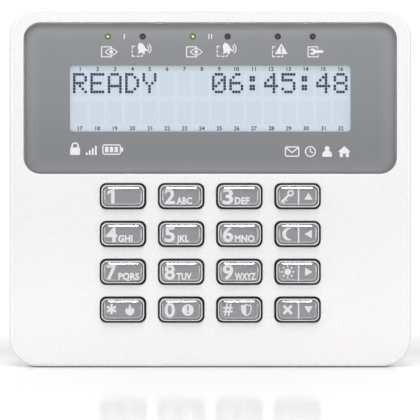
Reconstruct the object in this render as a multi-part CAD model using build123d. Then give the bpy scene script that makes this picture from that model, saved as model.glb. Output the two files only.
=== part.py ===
from build123d import *
import math
import os

# Wall-mounted alarm keypad with a two-line character display, six status lamps and sixteen keys.
#
# Frame: millimetres. X to the right seen from the front, Z up, Y into the wall.
# The origin is the centre of the wall-screw pattern on the rear plane (Y = 0), so everything
# stands in front of the wall at negative Y. "Depth" below is the distance in front of the wall,
# depth = -Y.

# ---------------------------------------------------------------- driving dimensions
WIDTH = 139.0  # overall width of the enclosure
HEIGHT = 124.0  # overall height of the enclosure
DEPTH = 22.0  # wall to key tops
CORNER_R = 10.5  # enclosure corner radius seen from the front

COVER_BACK = 3.3  # depth of the cover's rear edge
COVER_FRONT = 20.5  # depth of the cover's front face
COVER_WALL = 2.2  # wall thickness at the rear edge and of the front face
COVER_DRAFT = 0.3  # how much the front outline is smaller, each side
COVER_FRONT_R = 1.25  # rounding of the front edge
COVER_REAR_R = 0.8  # rounding of the rear edge, whose centre is the opening axis

BASE_W = 138.2
BASE_H = 123.2
BASE_R = 10.1
BASE_FLOOR = 2.2
BASE_RIM = 3.0
UPSTAND_OUT = (133.6, 118.6, 7.8)
UPSTAND_IN = (130.4, 115.4, 6.2)
UPSTAND_TOP = 9.0

WINDOW_W = 128.1
WINDOW_H = 51.8
WINDOW_R = 5.55
WINDOW_Z = 30.6
WINDOW_FRONT = 20.42
WINDOW_BACK = 19.35
MASK_BACK = 19.17
RECESS_FLOOR = 19.15
RECESS_GAP = 0.15

VIEW_W = 96.8  # clear area of the mask over the display
VIEW_H = 22.7
VIEW_Z = 30.55
VIEW_R = 1.3

LED_X = (-35.3, -23.3, -6.0, 6.0, 23.3, 35.3)
LED_Z = 51.95
LED_HOLE_R = 0.9

PCB_W = 128.0
PCB_H = 112.0
PCB_BACK = 11.0
PCB_FRONT = 12.6

KEY_X = (-30.0, -10.0, 10.0, 30.0)
KEY_Z = (-3.1, -16.1, -29.1, -42.1)
KEY_HOLE = (15.9, 8.9, 2.25)
KEY_CAP = (15.0, 8.0, 1.8)
KEY_CORE = (13.3, 6.3, 1.15)
KEY_TRAVEL = 1.2
KEY_NAMES = (
    ("key_1", "key_2", "key_3", "key_arm_up"),
    ("key_4", "key_5", "key_6", "key_night_left"),
    ("key_7", "key_8", "key_9", "key_day_right"),
    ("key_star", "key_0", "key_hash", "key_cancel_down"),
)

BOSSES = ((-61, 53), (61, 53), (-61, 3.5), (61, 3.5), (-61, -52), (61, -52))
HOOK_X = (-38.0, 38.0)

WALL_SLOT = (50.0, 38.0)  # half spacings of the four wall-screw slots
SLOT_W = 4.5
SLOT_L = 8.0
BOX_SLOT_X = 30.0  # half of the 60 mm spacing of a flush wall box
BOX_SLOT_W = 4.0
BOX_SLOT_L = 7.0
CABLE_W = 34.0
CABLE_H = 24.0

TAMPER = (46.0, -20.0)
TAMPER_TRAVEL = 2.0

os.makedirs("parts", exist_ok=True)


# ---------------------------------------------------------------- helpers
def face(w, h, r, depth, cx=0.0, cz=0.0):
    """Rounded rectangle facing the front, at a depth."""
    plane = Plane.XZ.offset(depth)
    shape = RectangleRounded(w, h, r) if r > 0 else Rectangle(w, h)
    return plane * Pos(cx, cz) * shape


def prism(w, h, r, d0, d1, cx=0.0, cz=0.0):
    """Rounded-rectangle prism between two depths."""
    return extrude(face(w, h, r, d0, cx, cz), d1 - d0)


def slab(x0, x1, z0, z1, d0, d1):
    """Box between two X, two Z and two depths."""
    return Pos((x0 + x1) / 2, -(d0 + d1) / 2, (z0 + z1) / 2) * Box(
        abs(x1 - x0), abs(d1 - d0), abs(z1 - z0)
    )


def rod(x, z, r, d0, d1):
    """Cylinder along Y between two depths."""
    return extrude(Plane.XZ.offset(d0) * Pos(x, z) * Circle(r), d1 - d0)


def slot_tool(x, z, length, width, d0, d1):
    """Slotted hole along X between two depths."""
    return extrude(
        Plane.XZ.offset(d0) * Pos(x, z) * SlotOverall(length, width), d1 - d0
    )


def edges_at(shape, depth, tol=0.02):
    return shape.edges().filter_by_position(Axis.Y, -depth - tol, -depth + tol)


def save(name, *shapes):
    solids = []
    for s in shapes:
        solids += list(s.solids())
    out = solids[0] if len(solids) == 1 else Compound(children=solids)
    out.label = name
    export_step(out, f"parts/{name}.step")
    return out


# ---------------------------------------------------------------- front cover
def make_cover():
    taper = math.degrees(math.atan(COVER_DRAFT / (COVER_FRONT - COVER_BACK)))
    # the rear rounding eats the widest section, so the outline starts a little larger
    grow = 2 * COVER_REAR_R * COVER_DRAFT / (COVER_FRONT - COVER_BACK)
    body = extrude(
        face(WIDTH + grow, HEIGHT + grow, CORNER_R, COVER_BACK),
        COVER_FRONT - COVER_BACK,
        taper=taper,
    )
    body = fillet(edges_at(body, COVER_FRONT), COVER_FRONT_R)
    body = fillet(edges_at(body, COVER_BACK), COVER_REAR_R)
    # inside of the shell
    body -= prism(
        WIDTH - 2 * COVER_WALL,
        HEIGHT - 2 * COVER_WALL,
        CORNER_R - COVER_WALL,
        COVER_BACK - 1,
        COVER_FRONT - COVER_WALL,
    )
    # thickened ledge behind the window
    inner = COVER_FRONT - COVER_WALL
    body += slab(-66, 66, 3.4, 58.4, inner - 1.1, inner + 0.2)
    # guide collars behind the key openings
    for z in KEY_Z:
        for x in KEY_X:
            body += prism(17.8, 10.8, 3.1, 16.7, inner + 0.1, x, z)
    # screw bosses for the circuit board, each with two webs to the side wall
    for x, z in BOSSES:
        body += rod(x, z, 2.9, PCB_FRONT, inner + 0.1)
        side = 67.4 if x > 0 else -67.4
        body += slab(min(x, side), max(x, side), z - 0.6, z + 0.6, 13.4, inner + 0.1)
    # recess for the window and the opening behind it
    body -= prism(
        WINDOW_W + 2 * RECESS_GAP,
        WINDOW_H + 2 * RECESS_GAP,
        WINDOW_R + RECESS_GAP,
        RECESS_FLOOR,
        COVER_FRONT + 2,
        0,
        WINDOW_Z,
    )
    body -= prism(114, 43, 3, inner - 3, COVER_FRONT + 1, 0, 33.5)
    # key openings
    for z in KEY_Z:
        for x in KEY_X:
            body -= prism(*KEY_HOLE, 15.5, COVER_FRONT + 1, x, z)
    for x, z in BOSSES:
        body -= rod(x, z, 1.05, PCB_FRONT - 1, 17.2)
    # rounded mouths of the window recess and of the key openings
    mouth = [
        e
        for e in edges_at(body, COVER_FRONT)
        if abs(e.center().X) < 66.5 and -50 < e.center().Z < 58.5
    ]
    body = fillet(mouth, 0.3)
    # slots for the base's hooks (top) and for its snap noses (bottom)
    for x in HOOK_X:
        body -= slab(x - 6.25, x + 6.25, 58.5, 64, 5.2, 9.2)
        body -= slab(x - 7.0, x + 7.0, -64, -58.5, 5.3, 8.3)
    return body


# ---------------------------------------------------------------- rear base
def make_base():
    plate = prism(BASE_W, BASE_H, BASE_R, 0, BASE_RIM)
    plate = fillet(edges_at(plate, 0), 0.6)
    plate -= prism(*UPSTAND_IN, BASE_FLOOR, BASE_RIM + 1)
    ring = prism(*UPSTAND_OUT, BASE_FLOOR, UPSTAND_TOP) - prism(
        *UPSTAND_IN, BASE_FLOOR - 1, UPSTAND_TOP + 1
    )
    body = plate + ring
    # stiffening ribs on the floor
    for z in (-48.0, 48.0):
        body += slab(-58, 58, z - 0.6, z + 0.6, BASE_FLOOR - 0.5, 3.4)
    for x in (-62.0, 62.0):
        body += slab(x - 0.6, x + 0.6, -44, 44, BASE_FLOOR - 0.5, 3.4)
    # raised edge round the cable opening
    body += prism(CABLE_W + 3.0, CABLE_H + 3.0, 3.0, BASE_FLOOR - 0.5, 3.0)
    body -= prism(CABLE_W, CABLE_H, 1.5, -1, 5)
    # two hook fingers on the top edge
    for x in HOOK_X:
        body += slab(x - 5.5, x + 5.5, 58.0, 61.4, 6.2, 7.6)
        body += slab(x - 5.5, x + 5.5, 57.0, 59.3, UPSTAND_TOP - 2.0, UPSTAND_TOP)
    # two snap arms on the bottom edge, each cut free of the wall at its sides
    for x in HOOK_X:
        body += slab(x - 4.0, x + 4.0, -59.65, -58.5, 6.0, 7.4)
        for side in (-1, 1):
            a, b = sorted((x + side * 5.2, x + side * 6.2))
            body -= slab(a, b, -60.5, -57.0, 3.6, UPSTAND_TOP + 1)
    # wall-screw slots, flush-box slots and the hole for the tamper plunger
    for sx in (-1, 1):
        for sz in (-1, 1):
            body -= slot_tool(
                sx * WALL_SLOT[0], sz * WALL_SLOT[1], SLOT_L, SLOT_W, -1, 5
            )
        body -= slot_tool(sx * BOX_SLOT_X, 0, BOX_SLOT_L, BOX_SLOT_W, -1, 5)
    body -= rod(*TAMPER, 3.2, -1, 5)
    # knock-outs for a cable that arrives along the wall: a thinned outline in the floor
    for z in (-53.5, 53.5):
        body -= prism(15, 6.4, 1.0, -1, 1.3, 0, z) - prism(13, 4.4, 0.5, -2, 3, 0, z)
    return body


# ---------------------------------------------------------------- window, mask, display
def make_lens():
    lens = prism(WINDOW_W, WINDOW_H, WINDOW_R, WINDOW_BACK, WINDOW_FRONT, 0, WINDOW_Z)
    return fillet(edges_at(lens, WINDOW_FRONT), 0.3)


def make_mask():
    mask = prism(
        WINDOW_W - 0.4,
        WINDOW_H - 0.4,
        WINDOW_R - 0.2,
        MASK_BACK,
        WINDOW_BACK,
        0,
        WINDOW_Z,
    )
    mask -= prism(
        VIEW_W, VIEW_H, VIEW_R, MASK_BACK - 1, WINDOW_BACK + 1, 0, VIEW_Z
    )
    for x in LED_X:
        mask -= rod(x, LED_Z, LED_HOLE_R, MASK_BACK - 1, WINDOW_BACK + 1)
    return mask


def make_bezel():
    # pressed sheet frame: front lip round the viewing area, side walls down to the board,
    # bent tabs that hold it there
    body = prism(107.4, 31.4, 1.0, PCB_FRONT + 0.6, 18.95, 0, VIEW_Z)
    body -= prism(106.4, 30.4, 0.6, PCB_FRONT, 18.45, 0, VIEW_Z)
    body -= prism(99.4, 24.6, 0.8, 18, 20, 0, VIEW_Z)
    for x in (-48.0, -24.0, 0.0, 24.0, 48.0):
        for s in (-1, 1):
            z = VIEW_Z + s * 15.45
            body += slab(x - 1.6, x + 1.6, z - 0.25, z + 0.25, PCB_FRONT, 14.0)
    return body


def make_led(x, d_top=18.7):
    # 3 mm round lamp: flange, body, dome and two legs
    body = rod(x, LED_Z, 1.9, 13.6, 14.5) + rod(x, LED_Z, 1.5, 14.5, d_top - 1.5)
    body += Pos(x, -(d_top - 1.5), LED_Z) * Sphere(1.5)
    for s in (-1, 1):
        body += slab(
            x + s * 1.27 - 0.25,
            x + s * 1.27 + 0.25,
            LED_Z - 0.25,
            LED_Z + 0.25,
            PCB_FRONT,
            14.0,
        )
    return body


def make_led_holder():
    body = prism(78.0, 5.2, 0.8, PCB_FRONT, 17.5, 0, LED_Z)
    for x in LED_X:
        body -= rod(x, LED_Z, 2.15, PCB_FRONT - 1, 18)
    return body


# ---------------------------------------------------------------- keys
def make_cap(x, z):
    cap = prism(*KEY_CAP, 16.6, DEPTH, x, z)
    cap = fillet(edges_at(cap, DEPTH), 0.75)
    cap -= prism(
        KEY_CORE[0] + 0.1, KEY_CORE[1] + 0.1, KEY_CORE[2] + 0.05, 16, 20.8, x, z
    )
    return cap


def make_core(x, z):
    core = prism(*KEY_CORE, 16.4, 20.76, x, z)
    core = fillet(edges_at(core, 20.76), 0.25)
    core += prism(17.0, 10.0, 2.4, 15.8, 16.6, x, z)
    core += prism(10.0, 5.0, 1.0, 14.3, 16.0, x, z)
    pill = rod(x, z, 2.0, 13.9, 14.3)
    return core, pill


LAMP_X = (-20.0, 0.0, 20.0)  # keypad back-light chips stand between the key columns


def make_mat():
    # silicone sheet with a raised collar round each key post and locating pegs
    body = prism(83.0, 53.0, 3.0, PCB_FRONT, 13.4, 0, -22.6)
    for z in KEY_Z:
        for x in KEY_X:
            dome = extrude(face(15.0, 9.4, 2.6, 13.3, x, z), 1.1, taper=38)
            body += dome
    for z in KEY_Z:
        for x in KEY_X:
            body -= prism(10.8, 5.8, 1.4, PCB_FRONT - 1, 15, x, z)
    for x in LAMP_X:
        for z in KEY_Z:
            body -= slab(x - 1.3, x + 1.3, z - 0.9, z + 0.9, PCB_FRONT - 1, 15)
        for z in (-9.6, -35.6):
            body += rod(x, z, 0.9, 13.2, 14.3)
    return body


# ---------------------------------------------------------------- circuit board and what it carries
def make_pcb():
    body = prism(PCB_W, PCB_H, 3.0, PCB_BACK, PCB_FRONT)
    for x, z in BOSSES:
        body -= rod(x, z, 1.6, PCB_BACK - 1, PCB_FRONT + 1)
    return body


def make_pcb_screws():
    out = []
    for x, z in BOSSES:
        head = rod(x, z, 2.6, 9.4, PCB_BACK)
        head = fillet(edges_at(head, 9.4), 0.7)
        cross = slab(x - 1.5, x + 1.5, z - 0.3, z + 0.3, 9.0, 10.2) + slab(
            x - 0.3, x + 0.3, z - 1.5, z + 1.5, 9.0, 10.2
        )
        out.append(head - cross + rod(x, z, 1.0, PCB_BACK - 0.2, 16.8))
    return out


TERMINAL_X = [-8.75 + 3.5 * i for i in range(6)]
TERMINAL_Z = -28.0


def make_terminal():
    body = slab(-10.75, 10.75, TERMINAL_Z - 3.6, TERMINAL_Z + 3.6, 3.0, PCB_BACK)
    body = chamfer(
        [e for e in edges_at(body, 3.0) if abs(e.center().Z - TERMINAL_Z) > 3.0], 0.8
    )
    for x in TERMINAL_X:
        body -= rod(x, TERMINAL_Z - 0.8, 1.45, 2.5, 5.6)
        body -= slab(x - 1.3, x + 1.3, TERMINAL_Z - 2.2, TERMINAL_Z + 4, 6.0, 9.2)
    return body


def make_terminal_screws():
    out = []
    for x in TERMINAL_X:
        s = rod(x, TERMINAL_Z - 0.8, 1.35, 3.5, 5.55)
        s -= slab(x - 1.6, x + 1.6, TERMINAL_Z - 1.05, TERMINAL_Z - 0.55, 3.0, 4.2)
        out.append(s)
    return out


def make_terminal_clamps():
    out = []
    for x in TERMINAL_X:
        c = slab(x - 1.25, x + 1.25, TERMINAL_Z - 2.1, TERMINAL_Z + 2.2, 6.05, 9.15)
        c -= slab(x - 0.9, x + 0.9, TERMINAL_Z - 3.0, TERMINAL_Z + 3.0, 6.5, 8.7)
        out.append(c)
    return out


BUZZER = (-42.0, 31.0)


def make_buzzer():
    body = rod(*BUZZER, 6.0, 4.6, PCB_BACK)
    body = fillet(edges_at(body, 4.6), 0.5)
    body -= rod(*BUZZER, 1.1, 4.0, 6.2)
    return body


def make_tamper_guide():
    x, z = TAMPER
    body = rod(x, z, 4.6, 2.9, PCB_BACK)
    body -= rod(x, z, 3.55, 3.7, PCB_BACK + 1)
    body -= rod(x, z, 2.4, 2, 5)
    body += prism(13.0, 11.0, 1.5, 9.8, PCB_BACK, x, z) - rod(x, z, 4.0, 9, 12)
    return body


def make_tamper_switch():
    x, z = TAMPER
    body = slab(x - 2.2, x + 2.2, z - 2.2, z + 2.2, 9.9, PCB_BACK)
    return body + rod(x, z, 1.1, 9.4, 10.0)


def make_tamper_plunger():
    x, z = TAMPER
    body = rod(x, z, 3.3, 5.8, 6.8)
    body += rod(x, z, 2.2, 0.1, 5.9)
    body = fillet(edges_at(body, 0.1), 0.6)
    return body


def make_spring():
    x, z = TAMPER
    turns, height, radius, wire = 3.5, 2.25, 2.45, 0.2
    path = Helix(height / turns, height, radius)
    start = Plane(origin=path @ 0, z_dir=path % 0)
    coil = sweep(start * Circle(wire), path)
    # the coil stands along +Y, from the switch back towards the plunger's flange
    return Pos(x, -9.35 + wire - 0.05, z) * Rot(-90, 0, 0) * coil


def make_chip():
    x, z = 34.0, 30.0
    body = slab(x - 5, x + 5, z - 5, z + 5, 9.5, 10.85)
    out = [body]
    for s in (-1, 1):
        for i in range(11):
            o = -4.0 + 0.8 * i
            out.append(
                slab(
                    min(x + s * 5, x + s * 6.2),
                    max(x + s * 5, x + s * 6.2),
                    z + o - 0.18,
                    z + o + 0.18,
                    10.8,
                    PCB_BACK,
                )
                + slab(
                    min(x + s * 5, x + s * 5.5),
                    max(x + s * 5, x + s * 5.5),
                    z + o - 0.18,
                    z + o + 0.18,
                    10.2,
                    10.9,
                )
            )
    return out


def make_capacitor():
    x, z = -30.0, -34.0
    can = rod(x, z, 3.15, 3.6, 10.4)
    can = fillet(edges_at(can, 3.6), 0.6)
    groove = rod(x, z, 4.0, 8.9, 9.4) - rod(x, z, 2.85, 8.5, 9.8)
    foot = slab(x - 3.3, x + 3.3, z - 3.3, z + 3.3, 10.4, PCB_BACK)
    return (can - groove) + foot


SMALL_PARTS = (
    # x, z, length, width, height of each surface-mounted part on the rear of the board
    (20.0, 34.0, 2.0, 1.25, 0.6), (20.0, 31.0, 2.0, 1.25, 0.6), (20.0, 28.0, 2.0, 1.25, 0.6),
    (24.0, 40.0, 3.2, 1.6, 0.8), (30.0, 40.0, 2.0, 1.25, 0.6), (34.0, 40.0, 2.0, 1.25, 0.6),
    (44.0, 34.0, 1.25, 2.0, 0.6), (44.0, 30.0, 1.25, 2.0, 0.6), (44.0, 26.0, 1.25, 2.0, 0.6),
    (50.0, 30.0, 5.0, 3.2, 1.1), (-20.0, -36.0, 4.6, 2.7, 1.6), (-20.0, -41.0, 4.6, 2.7, 1.6),
    (-38.0, -36.0, 3.2, 1.6, 0.8), (-38.0, -40.0, 3.2, 1.6, 0.8), (-12.0, -37.0, 2.0, 1.25, 0.6),
    (-4.0, -37.0, 2.0, 1.25, 0.6), (4.0, -37.0, 2.0, 1.25, 0.6), (12.0, -37.0, 2.0, 1.25, 0.6),
    (-30.0, 30.0, 2.0, 1.25, 0.6), (-30.0, 26.0, 2.9, 1.3, 1.0), (36.0, -20.0, 2.0, 1.25, 0.6),
    (36.0, -24.0, 2.0, 1.25, 0.6),
)


def make_small_parts():
    return [
        slab(x - a / 2, x + a / 2, z - b / 2, z + b / 2, PCB_BACK - h, PCB_BACK)
        for x, z, a, b, h in SMALL_PARTS
    ]


# ---------------------------------------------------------------- write everything
cover = save("front_cover", make_cover())
save("rear_base", make_base())
save("window_lens", make_lens())
save("window_mask", make_mask())
save("lcd_bezel", make_bezel())
save("lcd_glass", prism(105.4, 29.4, 0.4, 15.75, 18.45, 0, VIEW_Z))
save("lcd_light_guide", prism(103.0, 25.0, 0.6, PCB_FRONT + 0.1, 15.65, 0, VIEW_Z))
save(
    "zebra_strips",
    slab(-50, 50, VIEW_Z + 12.9, VIEW_Z + 14.5, PCB_FRONT, 15.75),
    slab(-50, 50, VIEW_Z - 14.5, VIEW_Z - 12.9, PCB_FRONT, 15.75),
)
save("main_pcb", make_pcb())
save("pcb_screws", *make_pcb_screws())
save("led_holder", make_led_holder())
save("armed_leds", make_led(LED_X[0]), make_led(LED_X[2]))
save("alarm_leds", make_led(LED_X[1]), make_led(LED_X[3]))
save("trouble_led", make_led(LED_X[4]))
save("service_led", make_led(LED_X[5]))
save("keypad_mat", make_mat())
save(
    "keypad_backlight_leds",
    *[
        slab(x - 1.0, x + 1.0, z - 0.6, z + 0.6, PCB_FRONT, PCB_FRONT + 0.7)
        for x in LAMP_X
        for z in KEY_Z
    ],
)
save("terminal_block", make_terminal())
save("terminal_screws", *make_terminal_screws())
save("terminal_clamps", *make_terminal_clamps())
save("buzzer", make_buzzer())
save("tamper_guide", make_tamper_guide())
save("tamper_switch", make_tamper_switch())
save("tamper_spring", make_spring())
save("tamper_plunger", make_tamper_plunger())
save("microcontroller", *make_chip())
save("filter_capacitor", make_capacitor())
save("surface_mount_parts", *make_small_parts())
for names, z in zip(KEY_NAMES, KEY_Z):
    for name, x in zip(names, KEY_X):
        save(name + "_cap", make_cap(x, z))
        save(name + "_core", *make_core(x, z))
print("cover", cover.bounding_box().size, "volume", cover.volume)
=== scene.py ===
import math

import bpy
import bmesh
from mathutils import Matrix, Vector


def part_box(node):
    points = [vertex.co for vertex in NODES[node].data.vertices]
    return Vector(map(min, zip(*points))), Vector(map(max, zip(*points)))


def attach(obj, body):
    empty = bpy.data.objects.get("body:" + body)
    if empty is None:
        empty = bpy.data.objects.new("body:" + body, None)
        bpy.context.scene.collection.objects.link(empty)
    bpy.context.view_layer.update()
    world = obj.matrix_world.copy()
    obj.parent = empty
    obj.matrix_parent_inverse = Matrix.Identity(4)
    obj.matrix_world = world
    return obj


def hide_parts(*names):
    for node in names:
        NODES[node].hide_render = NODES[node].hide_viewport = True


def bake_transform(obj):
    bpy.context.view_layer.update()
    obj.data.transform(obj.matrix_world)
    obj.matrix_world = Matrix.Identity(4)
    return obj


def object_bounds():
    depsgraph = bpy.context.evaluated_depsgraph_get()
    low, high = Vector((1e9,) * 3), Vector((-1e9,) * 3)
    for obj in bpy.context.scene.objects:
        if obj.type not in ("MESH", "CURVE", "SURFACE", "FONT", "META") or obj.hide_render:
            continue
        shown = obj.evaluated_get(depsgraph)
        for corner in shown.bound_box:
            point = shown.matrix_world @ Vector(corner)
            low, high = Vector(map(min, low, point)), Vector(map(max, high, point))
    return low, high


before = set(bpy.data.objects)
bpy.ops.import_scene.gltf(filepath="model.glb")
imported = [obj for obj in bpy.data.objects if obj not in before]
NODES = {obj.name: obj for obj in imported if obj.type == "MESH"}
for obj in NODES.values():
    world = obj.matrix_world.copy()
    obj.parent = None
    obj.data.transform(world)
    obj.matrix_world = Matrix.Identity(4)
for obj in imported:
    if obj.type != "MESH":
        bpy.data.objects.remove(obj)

CAD_LOW, CAD_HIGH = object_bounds()
MM = 0.001

# ------------------------------------------------------------------ shared layout, read from the frame
KEYS = {
    "key_1": ("1", ""), "key_2": ("2", "ABC"), "key_3": ("3", "DEF"), "key_arm_up": ("key", "up"),
    "key_4": ("4", "GHI"), "key_5": ("5", "JKL"), "key_6": ("6", "MNO"), "key_night_left": ("moon", "left"),
    "key_7": ("7", "PQRS"), "key_8": ("8", "TUV"), "key_9": ("9", "WXYZ"), "key_day_right": ("sun", "right"),
    "key_star": ("star", "flame"), "key_0": ("0", "alert"), "key_hash": ("hash", "shield"),
    "key_cancel_down": ("cross", "down"),
}


def centre_mm(node):
    lo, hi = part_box(node)
    c = (lo + hi) / 2 / MM
    return c.x, c.z


def box_mm(node):
    lo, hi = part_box(node)
    return lo / MM, hi / MM


# ------------------------------------------------------------------ node material helpers
def srgb(r, g, b):
    def lin(v):
        v /= 255.0
        return v / 12.92 if v <= 0.04045 else ((v + 0.055) / 1.055) ** 2.4
    return (lin(r), lin(g), lin(b), 1.0)


class Mat:
    """A small builder for node materials."""

    def __init__(self, name):
        self.m = bpy.data.materials.new(name)
        self.m.use_nodes = True
        self.t = self.m.node_tree
        self.t.nodes.clear()
        self.out = self.add("ShaderNodeOutputMaterial")

    def add(self, kind, **props):
        n = self.t.nodes.new(kind)
        for k, v in props.items():
            setattr(n, k, v)
        return n

    def link(self, a, b):
        self.t.links.new(a, b)

    def coords(self):
        return self.add("ShaderNodeTexCoord").outputs["Object"]

    def noise(self, scale, detail=3.0, rough=0.55, stretch=None):
        src = self.coords()
        if stretch:
            mp = self.add("ShaderNodeMapping")
            mp.inputs["Scale"].default_value = stretch
            self.link(src, mp.inputs["Vector"])
            src = mp.outputs["Vector"]
        n = self.add("ShaderNodeTexNoise")
        n.inputs["Scale"].default_value = scale
        n.inputs["Detail"].default_value = detail
        n.inputs["Roughness"].default_value = rough
        self.link(src, n.inputs["Vector"])
        return n.outputs["Fac"]

    def ramp(self, fac, stops):
        r = self.add("ShaderNodeValToRGB")
        e = r.color_ramp.elements
        while len(e) < len(stops):
            e.new(0.5)
        for el, (p, c) in zip(e, stops):
            el.position = p
            el.color = c
        self.link(fac, r.inputs["Fac"])
        return r.outputs["Color"]

    def remap(self, fac, a, b, lo=0.0, hi=1.0):
        r = self.add("ShaderNodeMapRange")
        r.inputs["From Min"].default_value = lo
        r.inputs["From Max"].default_value = hi
        r.inputs["To Min"].default_value = a
        r.inputs["To Max"].default_value = b
        self.link(fac, r.inputs["Value"])
        return r.outputs["Result"]

    def math(self, op, a, b=None):
        n = self.add("ShaderNodeMath", operation=op)
        for i, v in enumerate((a, b)):
            if v is None:
                continue
            if isinstance(v, (int, float)):
                n.inputs[i].default_value = v
            else:
                self.link(v, n.inputs[i])
        return n.outputs[0]

    def mix_colour(self, fac, a, b):
        n = self.add("ShaderNodeMix", data_type="RGBA")
        if isinstance(fac, (int, float)):
            n.inputs["Factor"].default_value = fac
        else:
            self.link(fac, n.inputs["Factor"])
        for sock, v in ((n.inputs[6], a), (n.inputs[7], b)):
            if isinstance(v, tuple):
                sock.default_value = v
            else:
                self.link(v, sock)
        return n.outputs[2]

    def bump(self, height, strength, distance):
        b = self.add("ShaderNodeBump")
        b.inputs["Strength"].default_value = strength
        b.inputs["Distance"].default_value = distance
        self.link(height, b.inputs["Height"])
        return b.outputs["Normal"]

    def principled(self, **values):
        p = self.add("ShaderNodeBsdfPrincipled")
        for k, v in values.items():
            k = k.replace("_", " ")
            if isinstance(v, (int, float, tuple)):
                p.inputs[k].default_value = v
            else:
                self.link(v, p.inputs[k])
        return p

    def done(self, shader):
        self.link(shader.outputs[0] if hasattr(shader, "outputs") else shader, self.out.inputs["Surface"])
        return self.m


def plastic(name, colour, rough=0.35, vary=0.03, grain=900.0, bump=0.04, blotch=40.0, metallic=0.0, coat=0.0, ior=1.5):
    """Moulded plastic, rubber or metal: a slow tone drift, a fine grain in roughness and height."""
    m = Mat(name)
    slow = m.noise(blotch, 2.0)
    dark = tuple(max(0.0, c * (1 - vary)) for c in colour[:3]) + (1.0,)
    light = tuple(min(1.0, c * (1 + vary)) for c in colour[:3]) + (1.0,)
    col = m.ramp(slow, [(0.3, dark), (0.7, light)])
    fine = m.noise(grain, 4.0)
    r = m.remap(fine, rough * 0.88, min(1.0, rough * 1.12), 0.3, 0.7)
    n = m.bump(fine, bump, 0.00004)
    p = m.principled(Base_Color=col, Roughness=r, Normal=n, Metallic=metallic, IOR=ior, Coat_Weight=coat)
    return m.done(p)


def clear(name, tint, gloss_rough=0.03, ior=1.49, haze=0.0, haze_colour=(0.9, 0.9, 0.9, 1.0)):
    """Clear moulded plastic as a thin clear surface: it passes light straight on, reflects by Fresnel, and can hold a little haze."""
    m = Mat(name)
    t = m.add("ShaderNodeBsdfTransparent")
    t.inputs["Color"].default_value = tint
    g = m.add("ShaderNodeBsdfGlossy")
    g.inputs["Color"].default_value = (1, 1, 1, 1)
    fine = m.noise(500.0, 2.0)
    m.link(m.remap(fine, gloss_rough * 0.8, gloss_rough * 1.3, 0.3, 0.7), g.inputs["Roughness"])
    body = t
    if haze > 0:
        d = m.add("ShaderNodeBsdfDiffuse")
        d.inputs["Color"].default_value = haze_colour
        mh = m.add("ShaderNodeMixShader")
        m.link(m.remap(m.noise(120.0, 2.0), haze * 0.9, haze * 1.1, 0.3, 0.7), mh.inputs[0])
        m.link(t.outputs[0], mh.inputs[1])
        m.link(d.outputs[0], mh.inputs[2])
        body = mh
    # the same reflectance from inside and outside: f0 + (1 - f0) * facing^5
    lw = m.add("ShaderNodeLayerWeight")
    lw.inputs["Blend"].default_value = 0.5
    f0 = ((ior - 1) / (ior + 1)) ** 2
    f = m.math("ADD", m.math("MULTIPLY", m.math("POWER", lw.outputs["Facing"], 5.0), 1 - f0), f0)
    mix = m.add("ShaderNodeMixShader")
    m.link(f, mix.inputs[0])
    m.link(body.outputs[0], mix.inputs[1])
    m.link(g.outputs[0], mix.inputs[2])
    return m.done(mix)


def print_ink(name, colour, rough=0.45):
    m = Mat(name)
    n = m.noise(1500.0, 3.0)
    dark = tuple(c * 0.94 for c in colour[:3]) + (1.0,)
    col = m.ramp(n, [(0.35, dark), (0.65, colour)])
    p = m.principled(Base_Color=col, Roughness=m.remap(n, rough * 0.9, rough * 1.1), IOR=1.45)
    return m.done(p)


# ------------------------------------------------------------------ mesh helpers (all in millimetres: x, z, depth in front of the wall)
def P(x, z, d):
    return Vector((x * MM, -d * MM, z * MM))


def new_object(name, bm, mats, sharp=None):
    me = bpy.data.meshes.new(name)
    bm.to_mesh(me)
    bm.free()
    for m in mats if isinstance(mats, (list, tuple)) else [mats]:
        me.materials.append(m)
    if sharp is not None:
        me.polygons.foreach_set("use_smooth", [True] * len(me.polygons))
        me.set_sharp_from_angle(angle=math.radians(sharp))
    ob = bpy.data.objects.new(name, me)
    bpy.context.scene.collection.objects.link(ob)
    return ob


def rounded(w, h, r, n=10, cx=0.0, cz=0.0):
    """Counter-clockwise outline, seen from the front, of a rounded rectangle."""
    r = max(min(r, w / 2 - 1e-4, h / 2 - 1e-4), 1e-4)
    pts = []
    for sx, sz, a0 in ((1, 1, 0), (-1, 1, 90), (-1, -1, 180), (1, -1, 270)):
        ox, oz = cx + sx * (w / 2 - r), cz + sz * (h / 2 - r)
        for i in range(n + 1):
            a = math.radians(a0 + 90 * i / n)
            pts.append((ox + r * math.cos(a), oz + r * math.sin(a)))
    return pts


def lathe_rect(bm, rings, w, h, r, cx, cz, n=10, cap_front=True, cap_back=True):
    """Stacks rounded-rectangle rings. Each ring is (inset, depth, material). Returns the rings of vertices."""
    made = []
    for inset, depth, _ in rings:
        pts = rounded(w - 2 * inset, h - 2 * inset, max(r - inset * (0.3 if r < 3 else 0.9), 0.3), n, cx, cz)
        made.append([bm.verts.new(P(x, z, depth)) for x, z in pts])
    for a, b, ring in zip(made, made[1:], rings[1:]):
        k = len(a)
        for i in range(k):
            f = bm.faces.new((a[i], a[(i + 1) % k], b[(i + 1) % k], b[i]))
            f.material_index = ring[2]
    if cap_back:
        f = bm.faces.new(list(reversed(made[0])))
        f.material_index = rings[0][2]
    if cap_front:
        f = bm.faces.new(made[-1])
        f.material_index = rings[-1][2]
    return made


STEP = [0]


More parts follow.
